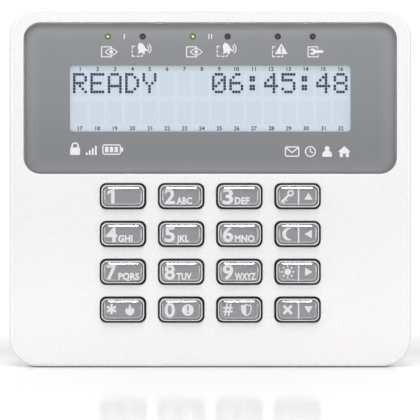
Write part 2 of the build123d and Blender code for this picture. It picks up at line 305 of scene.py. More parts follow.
def flat_shape(bm, pts, depth, thick=0.02):
    """A thin raised print with any outline. Each one stands half a micron off the last, so overlaps never share a plane."""
    if len(pts) < 3:
        return
    STEP[0] = (STEP[0] + 1) % 17
    depth += 0.0005 * STEP[0]
    area = sum(a[0] * b[1] - b[0] * a[1] for a, b in zip(pts, pts[1:] + pts[:1]))
    if area < 0:
        pts = list(reversed(pts))
    front = [bm.verts.new(P(x, z, depth + thick)) for x, z in pts]
    back = [bm.verts.new(P(x, z, depth)) for x, z in pts]
    bm.faces.new(front)
    bm.faces.new(list(reversed(back)))
    k = len(pts)
    for i in range(k):
        bm.faces.new((back[i], back[(i + 1) % k], front[(i + 1) % k], front[i]))


def disc(cx, cz, r, n=28, squash=1.0):
    return [(cx + r * math.cos(2 * math.pi * i / n), cz + r * squash * math.sin(2 * math.pi * i / n)) for i in range(n)]


def ring_shape(bm, outer, inner, depth, thick=0.02):
    """A print between two outlines with the same number of points."""
    k = len(outer)
    of_, ob_ = [[bm.verts.new(P(x, z, depth + t)) for x, z in outer] for t in (thick, 0)]
    if_, ib_ = [[bm.verts.new(P(x, z, depth + t)) for x, z in inner] for t in (thick, 0)]
    for i in range(k):
        j = (i + 1) % k
        bm.faces.new((of_[i], of_[j], if_[j], if_[i]))
        bm.faces.new((ob_[j], ob_[i], ib_[i], ib_[j]))
        bm.faces.new((ob_[i], ob_[j], of_[j], of_[i]))
        bm.faces.new((ib_[j], ib_[i], if_[i], if_[j]))


def stroke(bm, pts, width, depth, closed=False, thick=0.02, round_ends=True):
    """A line of even width: one thin bar for each run, with a round joint at each point."""
    runs = list(zip(pts, pts[1:])) + ([(pts[-1], pts[0])] if closed else [])
    for (x0, z0), (x1, z1) in runs:
        dx, dz = x1 - x0, z1 - z0
        length = math.hypot(dx, dz)
        if length < 1e-6:
            continue
        nx, nz = -dz / length * width / 2, dx / length * width / 2
        flat_shape(bm, [(x0 + nx, z0 + nz), (x0 - nx, z0 - nz), (x1 - nx, z1 - nz), (x1 + nx, z1 + nz)], depth, thick)
    if round_ends:
        for x, z in pts:
            flat_shape(bm, disc(x, z, width / 2, 12), depth, thick * 0.96)


def arc(cx, cz, r, a0, a1, n=14):
    return [(cx + r * math.cos(math.radians(a0 + (a1 - a0) * i / n)), cz + r * math.sin(math.radians(a0 + (a1 - a0) * i / n))) for i in range(n + 1)]


def letters(bm, text, x, z, height, depth, bold=0.0, align="CENTER", squeeze=1.0, thick=0.02, slant=0.0, space=1.0, fit=None):
    """Text as a thin raised print. height is the height of a capital, z its foot, x its centre, left or right end."""
    cu = bpy.data.curves.new("txt", "FONT")
    cu.body = text
    cu.align_x = "LEFT"
    cu.size = 1.0
    cu.resolution_u = 4
    cu.space_character = space
    cu.offset = 0.0
    probe = bpy.data.curves.new("probe", "FONT")
    probe.body = "H"
    po = bpy.data.objects.new("probe", probe)
    bpy.context.scene.collection.objects.link(po)
    ob = bpy.data.objects.new("txt", cu)
    bpy.context.scene.collection.objects.link(ob)
    bpy.context.view_layer.update()
    dg = bpy.context.evaluated_depsgraph_get()
    pm = bpy.data.meshes.new_from_object(po.evaluated_get(dg))
    cap = max(v.co.y for v in pm.vertices)
    scale = height / cap
    cu.offset = bold / scale
    bpy.context.view_layer.update()
    dg = bpy.context.evaluated_depsgraph_get()
    me = bpy.data.meshes.new_from_object(ob.evaluated_get(dg))
    xs = [v.co.x for v in me.vertices] or [0.0]
    if fit:
        squeeze = fit / ((max(xs) - min(xs)) * scale)
    lo, hi = min(xs) * scale * squeeze, max(xs) * scale * squeeze
    shift = {"CENTER": -(lo + hi) / 2, "LEFT": -lo, "RIGHT": -hi}[align]
    verts_f = [bm.verts.new(P(x + shift + v.co.x * scale * squeeze + slant * v.co.y * scale, z + v.co.y * scale, depth + thick)) for v in me.vertices]
    for poly in me.polygons:
        try:
            f = bm.faces.new([verts_f[i] for i in poly.vertices])
        except ValueError:
            continue
        f.normal_update()
        if f.normal.y > 0:
            f.normal_flip()
    for o, c in ((ob, cu), (po, probe)):
        bpy.data.objects.remove(o)
        bpy.data.curves.remove(c)
    bpy.data.meshes.remove(me)
    bpy.data.meshes.remove(pm)
    return hi - lo


# ------------------------------------------------------------------ materials
def cover_material():
    m = Mat("cover_white")
    slow = m.noise(18.0, 2.0)
    col = m.ramp(slow, [(0.3, srgb(239, 237, 238)), (0.7, srgb(242, 240, 241))])
    sep = m.add("ShaderNodeSeparateXYZ")
    m.link(m.coords(), sep.inputs[0])
    # distance in from the outline of the front: painted shade on the rounded edge and a painted highlight on its crown,
    # left off the bottom edge and off the side walls farther back
    qx = m.math("SUBTRACT", m.math("ABSOLUTE", sep.outputs[0]), (69.5 - 10.5) * MM)
    qz = m.math("SUBTRACT", m.math("ABSOLUTE", sep.outputs[2]), (62.0 - 10.5) * MM)
    ax, az = m.math("MAXIMUM", qx, 0.0), m.math("MAXIMUM", qz, 0.0)
    out = m.math("SQRT", m.math("ADD", m.math("MULTIPLY", ax, ax), m.math("MULTIPLY", az, az)))
    edge = m.math("SUBTRACT", 10.5 * MM, m.math("ADD", out, m.math("MINIMUM", m.math("MAXIMUM", qx, qz), 0.0)))
    tone = m.ramp(m.remap(edge, 0.0, 1.0, 0.0, 0.0028), [(p, (v, v, v, 1)) for p, v in (
        (0.0, 0.84), (0.22, 0.86), (0.31, 0.9), (0.37, 1.05), (0.52, 1.06), (0.6, 0.98), (0.75, 0.985), (1.0, 1.0))])
    upper = m.remap(sep.outputs[2], 0.0, 1.0, -0.0608, -0.0585)
    near_front = m.remap(sep.outputs[1], 1.0, 0.0, -0.0192, -0.0185)
    tone = m.mix_colour(m.math("MULTIPLY", upper, near_front), (1, 1, 1, 1), tone)
    # painted light: the cover is painted lighter towards the bottom, up to 11% at its foot
    foot = m.ramp(m.remap(sep.outputs[2], 0.0, 1.0, -0.058, -0.01), [(p, (v, v, v, 1)) for p, v in (
        (0.0, 1.11), (0.3, 1.08), (0.7, 1.025), (1.0, 1.0))])
    for factor in (tone, foot):
        mul = m.add("ShaderNodeMix", data_type="RGBA", blend_type="MULTIPLY")
        mul.inputs["Factor"].default_value = 1.0
        m.link(col, mul.inputs[6])
        m.link(factor, mul.inputs[7])
        col = mul.outputs[2]
    fine = m.noise(1600.0, 3.0)
    peel = m.noise(260.0, 1.0)
    h = m.math("ADD", m.math("MULTIPLY", fine, 0.35), m.math("MULTIPLY", peel, 0.65))
    p = m.principled(Base_Color=col, Roughness=m.remap(fine, 0.24, 0.32, 0.3, 0.7), IOR=1.5, Coat_Weight=0.6,
                     Normal=m.bump(h, 0.025, 0.00003))
    p.inputs["Coat Roughness"].default_value = 0.1
    return m.done(p)


def mask_material(node):
    """Grey film, with painted light and shade: lighter towards the top, darker in its lower part with a thin lighter
    strip along the bottom edge, and lighter in a soft band that follows its edge.
    """
    lo, hi = box_mm(node)
    cx, cz = (lo.x + hi.x) / 2, (lo.z + hi.z) / 2
    hw, hh, r = (hi.x - lo.x) / 2, (hi.z - lo.z) / 2, 5.4
    m = Mat("mask_grey")
    sep = m.add("ShaderNodeSeparateXYZ")
    m.link(m.coords(), sep.inputs[0])
    qx = m.math("SUBTRACT", m.math("ABSOLUTE", m.math("SUBTRACT", sep.outputs[0], cx * MM)), (hw - r) * MM)
    qz = m.math("SUBTRACT", m.math("ABSOLUTE", m.math("SUBTRACT", sep.outputs[2], cz * MM)), (hh - r) * MM)
    ax, az = m.math("MAXIMUM", qx, 0.0), m.math("MAXIMUM", qz, 0.0)
    out = m.math("SQRT", m.math("ADD", m.math("MULTIPLY", ax, ax), m.math("MULTIPLY", az, az)))
    inside = m.math("MINIMUM", m.math("MAXIMUM", qx, qz), 0.0)
    edge = m.math("SUBTRACT", r * MM, m.math("ADD", out, inside))  # distance in from the edge
    # painted light: the film is painted a little lighter in a soft band that follows its edge, lightest about 2.4 mm in
    band = m.ramp(m.remap(edge, 0.0, 1.0, 0.0, 0.006), [(p, srgb(v - 1.5, v, v + 3)) for p, v in (
        (0.0, 146), (0.117, 146), (0.2, 147.6), (0.29, 149), (0.35, 150), (0.4, 151), (0.55, 149.5), (0.69, 147.7), (0.8, 145), (1.0, 143))])
    # painted light and shade by height: lighter towards the top, darker in the lower part, with a thin lighter strip
    # along the bottom edge
    height = m.remap(sep.outputs[2], 0.0, 1.0, lo.z * MM, hi.z * MM)
    tone = m.ramp(height, [(p, (v, v, v * 0.996, 1)) for p, v in (
        (0.0, 0.97), (0.018, 1.0), (0.045, 0.83), (0.16, 0.83), (0.45, 0.93), (0.7, 0.97), (0.85, 0.99), (1.0, 1.07))])
    mul = m.add("ShaderNodeMix", data_type="RGBA", blend_type="MULTIPLY")
    mul.inputs["Factor"].default_value = 1.0
    m.link(band, mul.inputs[6])
    m.link(tone, mul.inputs[7])
    fine = m.noise(1800.0, 3.0)
    p = m.principled(Base_Color=mul.outputs[2], Roughness=m.remap(fine, 0.5, 0.62), Normal=m.bump(fine, 0.03, 0.00002))
    return m.done(p)


def display_material(name, face, body, glow):
    """Back-lit display: the light from behind is held in the surface itself."""
    m = Mat(name)
    slow = m.noise(30.0, 2.0)
    lit = m.ramp(slow, [(0.3, face), (0.7, tuple(c * 1.03 for c in face[:3]) + (1.0,))])
    col = m.ramp(slow, [(0.3, tuple(c * body for c in face[:3]) + (1.0,)), (0.7, tuple(c * body * 1.03 for c in face[:3]) + (1.0,))])
    p = m.principled(Base_Color=col, Roughness=m.remap(m.noise(900.0), 0.35, 0.45), IOR=1.5, Emission_Color=lit)
    p.inputs["Emission Strength"].default_value = glow
    return m.done(p)


def lamp_material(name, inner, mid, outer, glow):
    """Lamp seen end on: a bright or dark middle, from the distance to the piece's own axis."""
    m = Mat(name)
    sep = m.add("ShaderNodeSeparateXYZ")
    m.link(m.coords(), sep.inputs[0])
    x2 = m.math("MULTIPLY", sep.outputs[0], sep.outputs[0])
    z2 = m.math("MULTIPLY", sep.outputs[2], sep.outputs[2])
    dist = m.math("SQRT", m.math("ADD", x2, z2))
    col = m.ramp(m.remap(dist, 0.0, 1.0, 0.0, 0.00092), [(0.0, inner), (0.2, inner), (0.38, mid), (0.54, outer), (1.0, outer)])
    p = m.principled(Base_Color=col, Roughness=0.25, IOR=1.5, Emission_Color=col)
    p.inputs["Emission Strength"].default_value = glow
    return m.done(p)


M = {
    "cover": cover_material(),
    "base": plastic("base_white", srgb(236, 235, 234), 0.55, 0.015, 1400.0, 0.12),
    "mask": mask_material("window_mask"),
    "lens": clear("lens_clear", (0.995, 0.995, 0.998, 1.0), 0.02, 1.42),
    "display": display_material("display_face", srgb(212, 225, 235), 0.66, 0.35),
    "frame_black": plastic("display_frame", srgb(34, 34, 36), 0.4, 0.1, 900.0, 0.05),
    "guide": plastic("light_guide", srgb(226, 234, 240), 0.3, 0.02),
    "zebra": plastic("contact_rubber", srgb(120, 62, 60), 0.8, 0.12, 2400.0, 0.15),
    "steel": plastic("zinc_steel", srgb(196, 196, 190), 0.32, 0.06, 1500.0, 0.1, metallic=1.0),
    "brass": plastic("plated_brass", srgb(196, 176, 120), 0.3, 0.06, 1500.0, 0.08, metallic=1.0),
    "holder": plastic("lamp_holder", srgb(36, 36, 38), 0.6, 0.1),
    # the mat's colour is kept dark grey as painted shade for the gaps round the keys
    "silicone_light": plastic("silicone_sheet", srgb(58, 58, 60), 0.7, 0.08, 1200.0, 0.08),
    "chip_light": plastic("chip_light", srgb(226, 214, 170), 0.5, 0.06),
    "terminal": plastic("terminal_green", srgb(38, 128, 78), 0.42, 0.05, 1000.0, 0.08),
    "black": plastic("black_plastic", srgb(38, 38, 41), 0.5, 0.12, 1100.0, 0.1),
    "alu": plastic("sleeved_can", srgb(188, 190, 194), 0.3, 0.05, 1500.0, 0.06, metallic=1.0),
    "lamp_green": plastic("lamp_green", srgb(120, 190, 70), 0.15, 0.05),
    "lamp_red": plastic("lamp_red", srgb(120, 36, 30), 0.15, 0.05),
    "lamp_yellow": plastic("lamp_yellow", srgb(150, 120, 40), 0.15, 0.05),
    "core": plastic("core_grey", srgb(145, 146, 150), 0.5, 0.03, 1500.0, 0.06, blotch=220.0),
    "pill": plastic("pill_black", srgb(24, 24, 25), 0.7, 0.1),
    # painted reflection: the rim's thick white haze stands in for the white surroundings seen in the clear bevel
    "key_rim": clear("key_rim", (0.95, 0.95, 0.96, 1.0), 0.06, 1.5, 0.78, srgb(246, 246, 247)),
    "key_clear": clear("key_clear", (0.99, 0.99, 0.992, 1.0), 0.17, 1.7, 0.03, srgb(225, 226, 230)),
    # painted shade: the groove's darker tint and grey haze stand in for the thin shaded line at the step
    "key_groove": clear("key_groove", (0.86, 0.86, 0.87, 1.0), 0.12, 1.45, 0.2, srgb(150, 151, 154)),
    "key_bevel": clear("key_bevel", (0.99, 0.99, 0.992, 1.0), 0.13, 2.75, 0.02, srgb(225, 226, 230)),
    # painted shade: an opaque mid grey on the lens's side wall and outer rounded edge, in place of the dark look of a
    # clear rounded edge
    "lens_edge_shade": plastic("lens_edge_shade", srgb(116, 117, 119), 0.45, 0.03, 900.0, 0.03, ior=1.25),
    "track": plastic("board_track", srgb(62, 140, 88), 0.32, 0.05, 900.0, 0.03),
    "tin": plastic("tinned_pad", srgb(205, 205, 200), 0.3, 0.05, 900.0, 0.05, metallic=1.0),
    # painted shade: near-black sheet lining the key openings
    "gap_shade_sheet": plastic("gap_shade_sheet", srgb(14, 14, 15), 0.8, 0.1),
    # painted shade: the caps' side walls are near black so that the gap round each key reads as shade
    "key_skirt": plastic("key_skirt", srgb(26, 26, 28), 0.6, 0.1),
    # painted light: green for the printed rim round the lit lamp, as the lamp's light on it
    "rim_green": print_ink("rim_green", srgb(66, 104, 26)),
    "rim_black": print_ink("rim_black", srgb(30, 31, 30)),
    "ink_white": print_ink("ink_white", srgb(250, 250, 252)),
    "ink_key": print_ink("ink_key", srgb(247, 248, 250)),
    "ink_label": print_ink("ink_label", srgb(50, 56, 64)),
    "dot_on": print_ink("dot_on", srgb(12, 16, 72), 0.6),
    "dot_off": display_material("dot_off", srgb(206, 218, 230), 0.66, 0.35),
    "lit_lamp": lamp_material("lit_lamp", srgb(232, 246, 200), srgb(140, 190, 66), srgb(84, 124, 34), 0.5),
    "dark_lamp": lamp_material("dark_lamp", srgb(96, 98, 92), srgb(22, 23, 22), srgb(6, 7, 7), 0.0),
}


def board_material():
    """Solder mask over copper: fine straight tracks, a slightly lighter green where copper lies under it."""
    m = Mat("board_green")
    src = m.coords()
    w1 = m.add("ShaderNodeTexBrick")
    w1.inputs["Scale"].default_value = 190.0
    w1.inputs["Mortar Size"].default_value = 0.03
    w1.inputs["Color1"].default_value = (1, 1, 1, 1)
    w1.inputs["Color2"].default_value = (0.75, 0.75, 0.75, 1)
    w1.inputs["Mortar"].default_value = (0, 0, 0, 1)
    sep = m.add("ShaderNodeSeparateXYZ")
    m.link(src, sep.inputs[0])
    comb = m.add("ShaderNodeCombineXYZ")
    m.link(sep.outputs[0], comb.inputs[0])
    m.link(sep.outputs[2], comb.inputs[1])
    m.link(comb.outputs[0], w1.inputs["Vector"])
    col = m.mix_colour(w1.outputs["Fac"], srgb(26, 92, 52), srgb(48, 122, 72))
    slow = m.noise(60.0, 2.0)
    col = m.mix_colour(m.remap(slow, 0.0, 0.25, 0.35, 0.65), col, srgb(20, 78, 44))
    p = m.principled(Base_Color=col, Roughness=0.32, IOR=1.5, Normal=m.bump(w1.outputs["Fac"], 0.1, 0.00003))
    return m.done(p)


M["board"] = board_material()

NODE_MATERIAL = {
    "front_cover": "cover", "rear_base": "base", "window_mask": "mask", "window_lens": "lens", "lcd_glass": "display",
    "lcd_bezel": "frame_black", "lcd_light_guide": "guide", "zebra_strips": "zebra", "main_pcb": "board",
    "pcb_screws": "steel", "led_holder": "holder", "armed_leds": "lamp_green", "alarm_leds": "lamp_red",
    "trouble_led": "lamp_yellow", "service_led": "lamp_yellow", "keypad_mat": "silicone_light",
    "keypad_backlight_leds": "chip_light", "terminal_block": "terminal", "terminal_screws": "steel",
    "terminal_clamps": "brass", "buzzer": "black", "tamper_guide": "black", "tamper_switch": "black",
    "tamper_spring": "steel", "tamper_plunger": "base", "microcontroller": "black", "filter_capacitor": "alu",
    "surface_mount_parts": "chip_light",
}
for name, ob in NODES.items():
    kind = NODE_MATERIAL.get(name) or ("core" if name.endswith("_core") else "key_clear")
    ob.data.materials.clear()
    ob.data.materials.append(M[kind])


# ------------------------------------------------------------------ window lens
def make_lens():
    lo, hi = box_mm("window_lens")
    w, h = hi.x - lo.x, hi.z - lo.z
    cx, cz = (hi.x + lo.x) / 2, (hi.z + lo.z) / 2
    back, front = -hi.y + 0.08, -lo.y
    r = 5.55
    # the side wall and the outer rings of the rounded edge take the opaque grey edge material, as painted shade; the
    # rest is clear
    rings = [(0.0, back, 1), (0.0, front - 0.3, 1)]
    for i in range(1, 7):
        a = math.radians(90 * i / 6)
        rings.append((0.3 * (1 - math.cos(a)), front - 0.3 + 0.3 * math.sin(a), 1 if i <= 4 else 0))
    rings.append((1.1, front, 0))
    bm = bmesh.new()
    made = lathe_rect(bm, rings, w, h, r, cx, cz, 14, cap_back=False)
    bm.faces.new(list(reversed(made[0]))).material_index = 0
    ob = new_object("window_lens_clear", bm, [M["lens"], M["lens_edge_shade"]], 35)
    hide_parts("window_lens")
    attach(ob, "front")


make_lens()


# ------------------------------------------------------------------ window print: icons and marks in front of the mask
def mask_front():
    lo, _ = box_mm("window_mask")
    return -lo.y


INK = mask_front() + 0.015


def icon_arm(bm, x, z):
    """Zone outline open on the right, with an eye on its way out. x, z: middle of the outline."""
    w, h = 0.36, 1.72
    stroke(bm, [(x + h, z + 0.95), (x + h, z + h), (x - h, z + h), (x - h, z - h), (x + h, z - h), (x + h, z - 0.95)], w, INK)
    e0, e1 = x - 0.45, x + 3.65
    top = [(e0 + (e1 - e0) * i / 14, z + 1.12 * math.sin(math.pi * i / 14) ** 0.9) for i in range(15)]
    stroke(bm, top, w * 0.9, INK)
    stroke(bm, [(a, 2 * z - b) for a, b in top], w * 0.9, INK)
    flat_shape(bm, disc((e0 + e1) / 2, z, 0.64, 24), INK)


def icon_dashes(bm, x, z, w=0.34):
    """Dashed zone outline, 3.45 across, seen behind a symbol at its right. x, z: its middle."""
    h = 1.72
    for pts in (((-h, 0.95), (-h, h), (-0.85, h)), ((-h, 0.3), (-h, -0.45)), ((-h, -1.1), (-h, -h), (-0.85, -h)),
                ((-0.15, -h), (0.75, -h)), ((1.35, -h), (1.75, -h), (1.75, -1.3))):
        stroke(bm, [(x + a, z + b) for a, b in pts], w, INK)


def icon_bell(bm, x, z):
    """x, z: middle of the bell. It leans to the left and sounds to the right."""
    icon_dashes(bm, x - 1.5, z - 1.15)
    tilt = math.radians(20)

    def turn(px, pz):
        return x + px * math.cos(tilt) - pz * math.sin(tilt), z + px * math.sin(tilt) + pz * math.cos(tilt)

    shape = [(-1.95, -1.5), (-1.45, -1.0), (-1.2, -0.2), (-1.1, 0.7), (-0.7, 1.4), (-0.22, 1.65), (-0.22, 1.95), (0.22, 1.95), (0.22, 1.65),
             (0.7, 1.4), (1.1, 0.7), (1.2, -0.2), (1.45, -1.0), (1.95, -1.5)]
    flat_shape(bm, [turn(*p) for p in shape], INK)
    flat_shape(bm, [turn(*p) for p in disc(0.1, -1.85, 0.45, 18)], INK)
    for r in (1.15, 1.95):
        stroke(bm, arc(x + 1.35, z - 0.25, r, -50, 50, 12), 0.34, INK)


def icon_warning(bm, x, z):
    """x, z: middle of the triangle, with its mark left open."""
    icon_dashes(bm, x - 1.3, z - 1.0)
    top, foot, half = z + 1.9, z - 1.8, 2.2
    flat_shape(bm, [(x, top), (x - half, foot), (x - 0.24, foot), (x - 0.24, z + 0.75), (x, z + 0.95)], INK)
    flat_shape(bm, [(x, top), (x, z + 0.95), (x + 0.24, z + 0.75), (x + 0.24, foot), (x + half, foot)], INK)
    for z0, z1 in ((z - 0.55, z - 0.85), (z - 1.35, foot)):
        flat_shape(bm, [(x - 0.25, z0), (x + 0.25, z0), (x + 0.25, z1), (x - 0.25, z1)], INK)


def icon_wrench(bm, x, z):
    """x, z: middle of the outline."""
    w, h = 0.36, 1.72
    stroke(bm, [(x + 1.5, z + 1.15), (x + 1.5, z + h), (x - h, z + h), (x - h, z - h), (x + 1.7, z - h), (x + 1.7, z - 1.15)], w, INK)
    outer = arc(x - 0.15, z + 0.1, 1.1, 152, -152, 24)
    flat_shape(bm, outer + [(x - 0.55, z - 0.28), (x - 0.05, z - 0.28), (x - 0.05, z + 0.48), (x - 0.55, z + 0.48)], INK)
    flat_shape(bm, [(x + 0.5, z + 0.6), (x + 3.1, z + 0.6)] + arc(x + 3.1, z + 0.1, 0.5, 90, -90, 12) + [(x + 0.5, z - 0.4)], INK)


def mark_lock(bm, x, z):
    """Plain padlock."""
    flat_shape(bm, rounded(3.4, 2.6, 0.4, 5, x, z - 0.8), INK)
    stroke(bm, [(x - 1.05, z + 0.4)] + arc(x, z + 1.0, 1.05, 180, 0, 14) + [(x + 1.05, z + 0.4)], 0.5, INK)


def mark_bars(bm, x, z, n=4):
    for i in range(n):
        h = 0.9 + 0.75 * i
        flat_shape(bm, rounded(0.62, h, 0.15, 3, x + i * 1.05, z - 1.9 + h / 2), INK)


def mark_house(bm, x, z):
    flat_shape(bm, [(x - 2.2, z - 0.1), (x, z + 1.9), (x + 2.2, z - 0.1), (x + 1.6, z - 0.1), (x + 1.6, z - 1.9), (x + 0.5, z - 1.9),
                    (x + 0.5, z - 0.7), (x - 0.5, z - 0.7), (x - 0.5, z - 1.9), (x - 1.6, z - 1.9), (x - 1.6, z - 0.1)], INK)


def mark_battery(bm, x, z):
    stroke(bm, rounded(6.0, 3.2, 0.5, 4, x, z), 0.4, INK, closed=True, round_ends=False)
    flat_shape(bm, rounded(0.7, 1.5, 0.2, 3, x + 3.6, z), INK)
    for i in range(3):
        flat_shape(bm, rounded(1.2, 1.9, 0.15, 3, x - 1.7 + 1.65 * i, z), INK)


def mark_letter(bm, x, z):
    stroke(bm, rounded(4.6, 3.2, 0.35, 4, x, z), 0.42, INK, closed=True, round_ends=False)
    stroke(bm, [(x - 2.1, z + 1.35), (x, z - 0.35), (x + 2.1, z + 1.35)], 0.42, INK)


def mark_clock(bm, x, z):
    ring_shape(bm, disc(x, z, 1.9, 32), disc(x, z, 1.48, 32), INK)
    stroke(bm, [(x, z + 1.0), (x, z), (x + 0.75, z - 0.35)], 0.4, INK)


def mark_person(bm, x, z):
    flat_shape(bm, disc(x, z + 1.05, 0.85, 24), INK)
    flat_shape(bm, [(x + 1.7, z - 1.8)] + arc(x, z - 1.25, 1.7, 18, 162, 18) + [(x - 1.7, z - 1.8)], INK)


def window_print():
    lamp_z = centre_mm("service_led")[1]
    a0, a1 = box_mm("armed_leds")
    b0, b1 = box_mm("alarm_leds")
    rad = 1.9
    armed = (a0.x + rad, a1.x - rad)
    alarm = (b0.x + rad, b1.x - rad)
    trouble, service = centre_mm("trouble_led")[0], centre_mm("service_led")[0]
    bm = bmesh.new()
    icon_z = lamp_z - 5.28
    for x in armed:
        icon_arm(bm, x - 0.45, icon_z)
    for x in alarm:
        icon_bell(bm, x - 0.4, icon_z + 1.35)
    icon_warning(bm, trouble + 1.2, icon_z + 1.05)
    icon_wrench(bm, service + 0.15, icon_z)
    letters(bm, "I", (armed[0] + alarm[0]) / 2 - 0.35, lamp_z - 0.8, 1.65, INK, 0.06)
    letters(bm, "II", 0.0, lamp_z - 0.8, 1.65, INK, 0.06, space=1.25)
    lo, hi = box_mm("window_lens")
    low_z = lo.z + 8.3
    mark_lock(bm, -46.6, low_z + 0.2)
    mark_bars(bm, -42.6, low_z)
    mark_battery(bm, -34.0, low_z)
    mark_letter(bm, 28.2, low_z - 0.7)
    mark_clock(bm, 34.5, low_z - 0.7)
    mark_person(bm, 40.3, low_z - 0.7)
    mark_house(bm, 46.2, low_z - 0.7)
    ob = new_object("window_print", bm, M["ink_white"])
    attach(ob, "front")
    # lamp faces in the mask's holes
    for i, x in enumerate(armed):
        lamp_face(f"lamp_armed_{i + 1}", x, lamp_z, "lit_lamp")
    for i, x in enumerate(alarm):
        lamp_face(f"lamp_alarm_{i + 1}", x, lamp_z, "dark_lamp")
    lamp_face("lamp_trouble", trouble, lamp_z, "dark_lamp")
    lamp_face("lamp_service", service, lamp_z, "dark_lamp")


def lamp_face(name, x, z, mat):
    """The lamp's end under its hole: a shallow dome with its own centre as origin."""
    bm = bmesh.new()
    n = 24
    d0 = mask_front() - 0.1
    rings = [(0.86, 0.0), (0.8, 0.05), (0.62, 0.11), (0.36, 0.15), (0.14, 0.165)]
    loops = []
    for r, up in rings:
        loops.append([bm.verts.new(Vector((r * math.cos(2 * math.pi * i / n), -up, r * math.sin(2 * math.pi * i / n))) * MM) for i in range(n)])
    for a, b in zip(loops, loops[1:]):
        for i in range(n):
            bm.faces.new((a[i], a[(i + 1) % n], b[(i + 1) % n], b[i]))
    bm.faces.new(loops[-1])
    ob = new_object(name, bm, M[mat], 60)
    ob.location = P(x, z, d0)
    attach(ob, "front")
    # dark rim printed round the hole; round the lit lamp it is green instead, painted light from the lamp
    rim = bmesh.new()
    ring_shape(rim, disc(x, z, 1.1, 32), disc(x, z, 0.8, 32), mask_front() + 0.004, 0.02)
    ob = new_object(name + "_rim", rim, M["rim_green" if mat == "lit_lamp" else "rim_black"])
    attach(ob, "front")


window_print()

# ------------------------------------------------------------------ character display
FONT = {
    "R": ("11110", "10001", "10001", "11110", "10100", "10010", "10001"),
    "E": ("11111", "10000", "10000", "11110", "10000", "10000", "11111"),
    "A": ("01110", "10001", "10001", "10001", "11111", "10001", "10001"),
    "D": ("11100", "10010", "10001", "10001", "10001", "10010", "11100"),
    "Y": ("10001", "10001", "10001", "01010", "00100", "00100", "00100"),
    "0": ("01110", "10001", "10011", "10101", "11001", "10001", "01110"),
    "4": ("00010", "00110", "01010", "10010", "11111", "00010", "00010"),
    "5": ("11111", "10000", "11110", "00001", "00001", "10001", "01110"),
    "6": ("00110", "01000", "10000", "11110", "10001", "10001", "01110"),
    "8": ("01110", "10001", "10001", "01110", "10001", "10001", "01110"),
    ":": ("00000", "01100", "01100", "00000", "01100", "01100", "00000"),
    " ": ("00000",) * 7,
}
LINES = ("READY   06:45:48", " " * 16)


def make_display():
    lo, hi = box_mm("lcd_glass")
    cx, cz = (lo.x + hi.x) / 2, (lo.z + hi.z) / 2
    face = -lo.y
    on, off = bmesh.new(), bmesh.new()
    px, pz, dx, dz = 0.985, 1.01, 0.9, 0.93
    for row, text in enumerate(LINES):
        top = cz + 8.45 - row * 9.7
        for c, ch in enumerate(text):
            mid = cx + (c - 7.5) * 6.0
            glyph = FONT[ch]
            for r in range(8):
                for k in range(5):
                    lit = r < 7 and glyph[r][k] == "1"
                    x, z = mid + (k - 2) * px, top - r * pz
                    if lit:
                        flat_shape(on, rounded(dx, dz, 0.1, 1, x, z), face + 0.01, 0.03)
                    else:
                        q = [P(x + sx * dx / 2, z + sz * dz / 2, face + 0.012) for sx, sz in ((1, 1), (-1, 1), (-1, -1), (1, -1))]
                        off.faces.new([off.verts.new(v) for v in q])
    for bm, name, mat in ((on, "display_dots_on", "dot_on"), (off, "display_dots_off", "dot_off")):
        ob = new_object(name, bm, M[mat])
        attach(ob, "front")
    bm = bmesh.new()
    for c in range(16):
        x = cx + (c - 7.5) * 6.0 + 0.1
        letters(bm, str(c + 1), x, cz + 9.65, 1.35, face + 0.012, 0.05)
        letters(bm, str(c + 17), x, cz - 10.85, 1.35, face + 0.012, 0.05)
    ob = new_object("display_numbers", bm, M["ink_label"])
    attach(ob, "front")


make_display()


# ------------------------------------------------------------------ keys
def make_cap(key):
    lo, hi = box_mm(key + "_cap")
    w, h = hi.x - lo.x, hi.z - lo.z
    cx, cz = (lo.x + hi.x) / 2, (lo.z + hi.z) / 2
    back, top = -hi.y, -lo.y
    # the back, the side wall and most of the rounded top edge take the dark skirt: painted shade for the gap round the
    # key
    rings = [(0.0, back + 0.05, 3), (0.0, top - 1.1, 3), (0.0, top - 0.82, 0)]
    # the last part of the rounded top edge takes the white-hazed rim, a painted reflection
    for i in range(1, 7):
        a = math.radians(90 * i / 6)
        rings.append((0.4 * (1 - math.cos(a)), top - 0.82 + 0.4 * math.sin(a), 3 if i < 5 else 0))
    # rim, then the groove, whose darker tint is painted shade, then the clear field
    rings += [(0.56, top - 0.415, 0), (0.6, top - 0.45, 2), (0.7, top - 0.46, 2), (0.88, top - 0.45, 1)]
    # raised middle: a band that turns from 38 to 30 degrees, then a short ease into the flat
    inset, down = 0.92, 0.425
    for i in range(6):
        rings.append((inset, top - down, 4 if i else 1))
        tilt = math.radians(38 - 8 * i / 5)
        inset += 0.105
        down -= 0.105 * math.tan(tilt)
    rings.append((inset, top - max(down, 0.012), 4))
    inset += 0.12
    rings.append((inset, top - 0.004, 1))
    rings.append((inset + 0.3, top, 1))
    bm = bmesh.new()
    lathe_rect(bm, rings, w, h, 1.95, cx, cz, 8, cap_back=False)
    ob = new_object(key + "_cap_clear", bm, [M["key_rim"], M["key_clear"], M["key_groove"], M["key_skirt"], M["key_bevel"]], 9)
    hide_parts(key + "_cap")
    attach(ob, key)
    return cx, cz


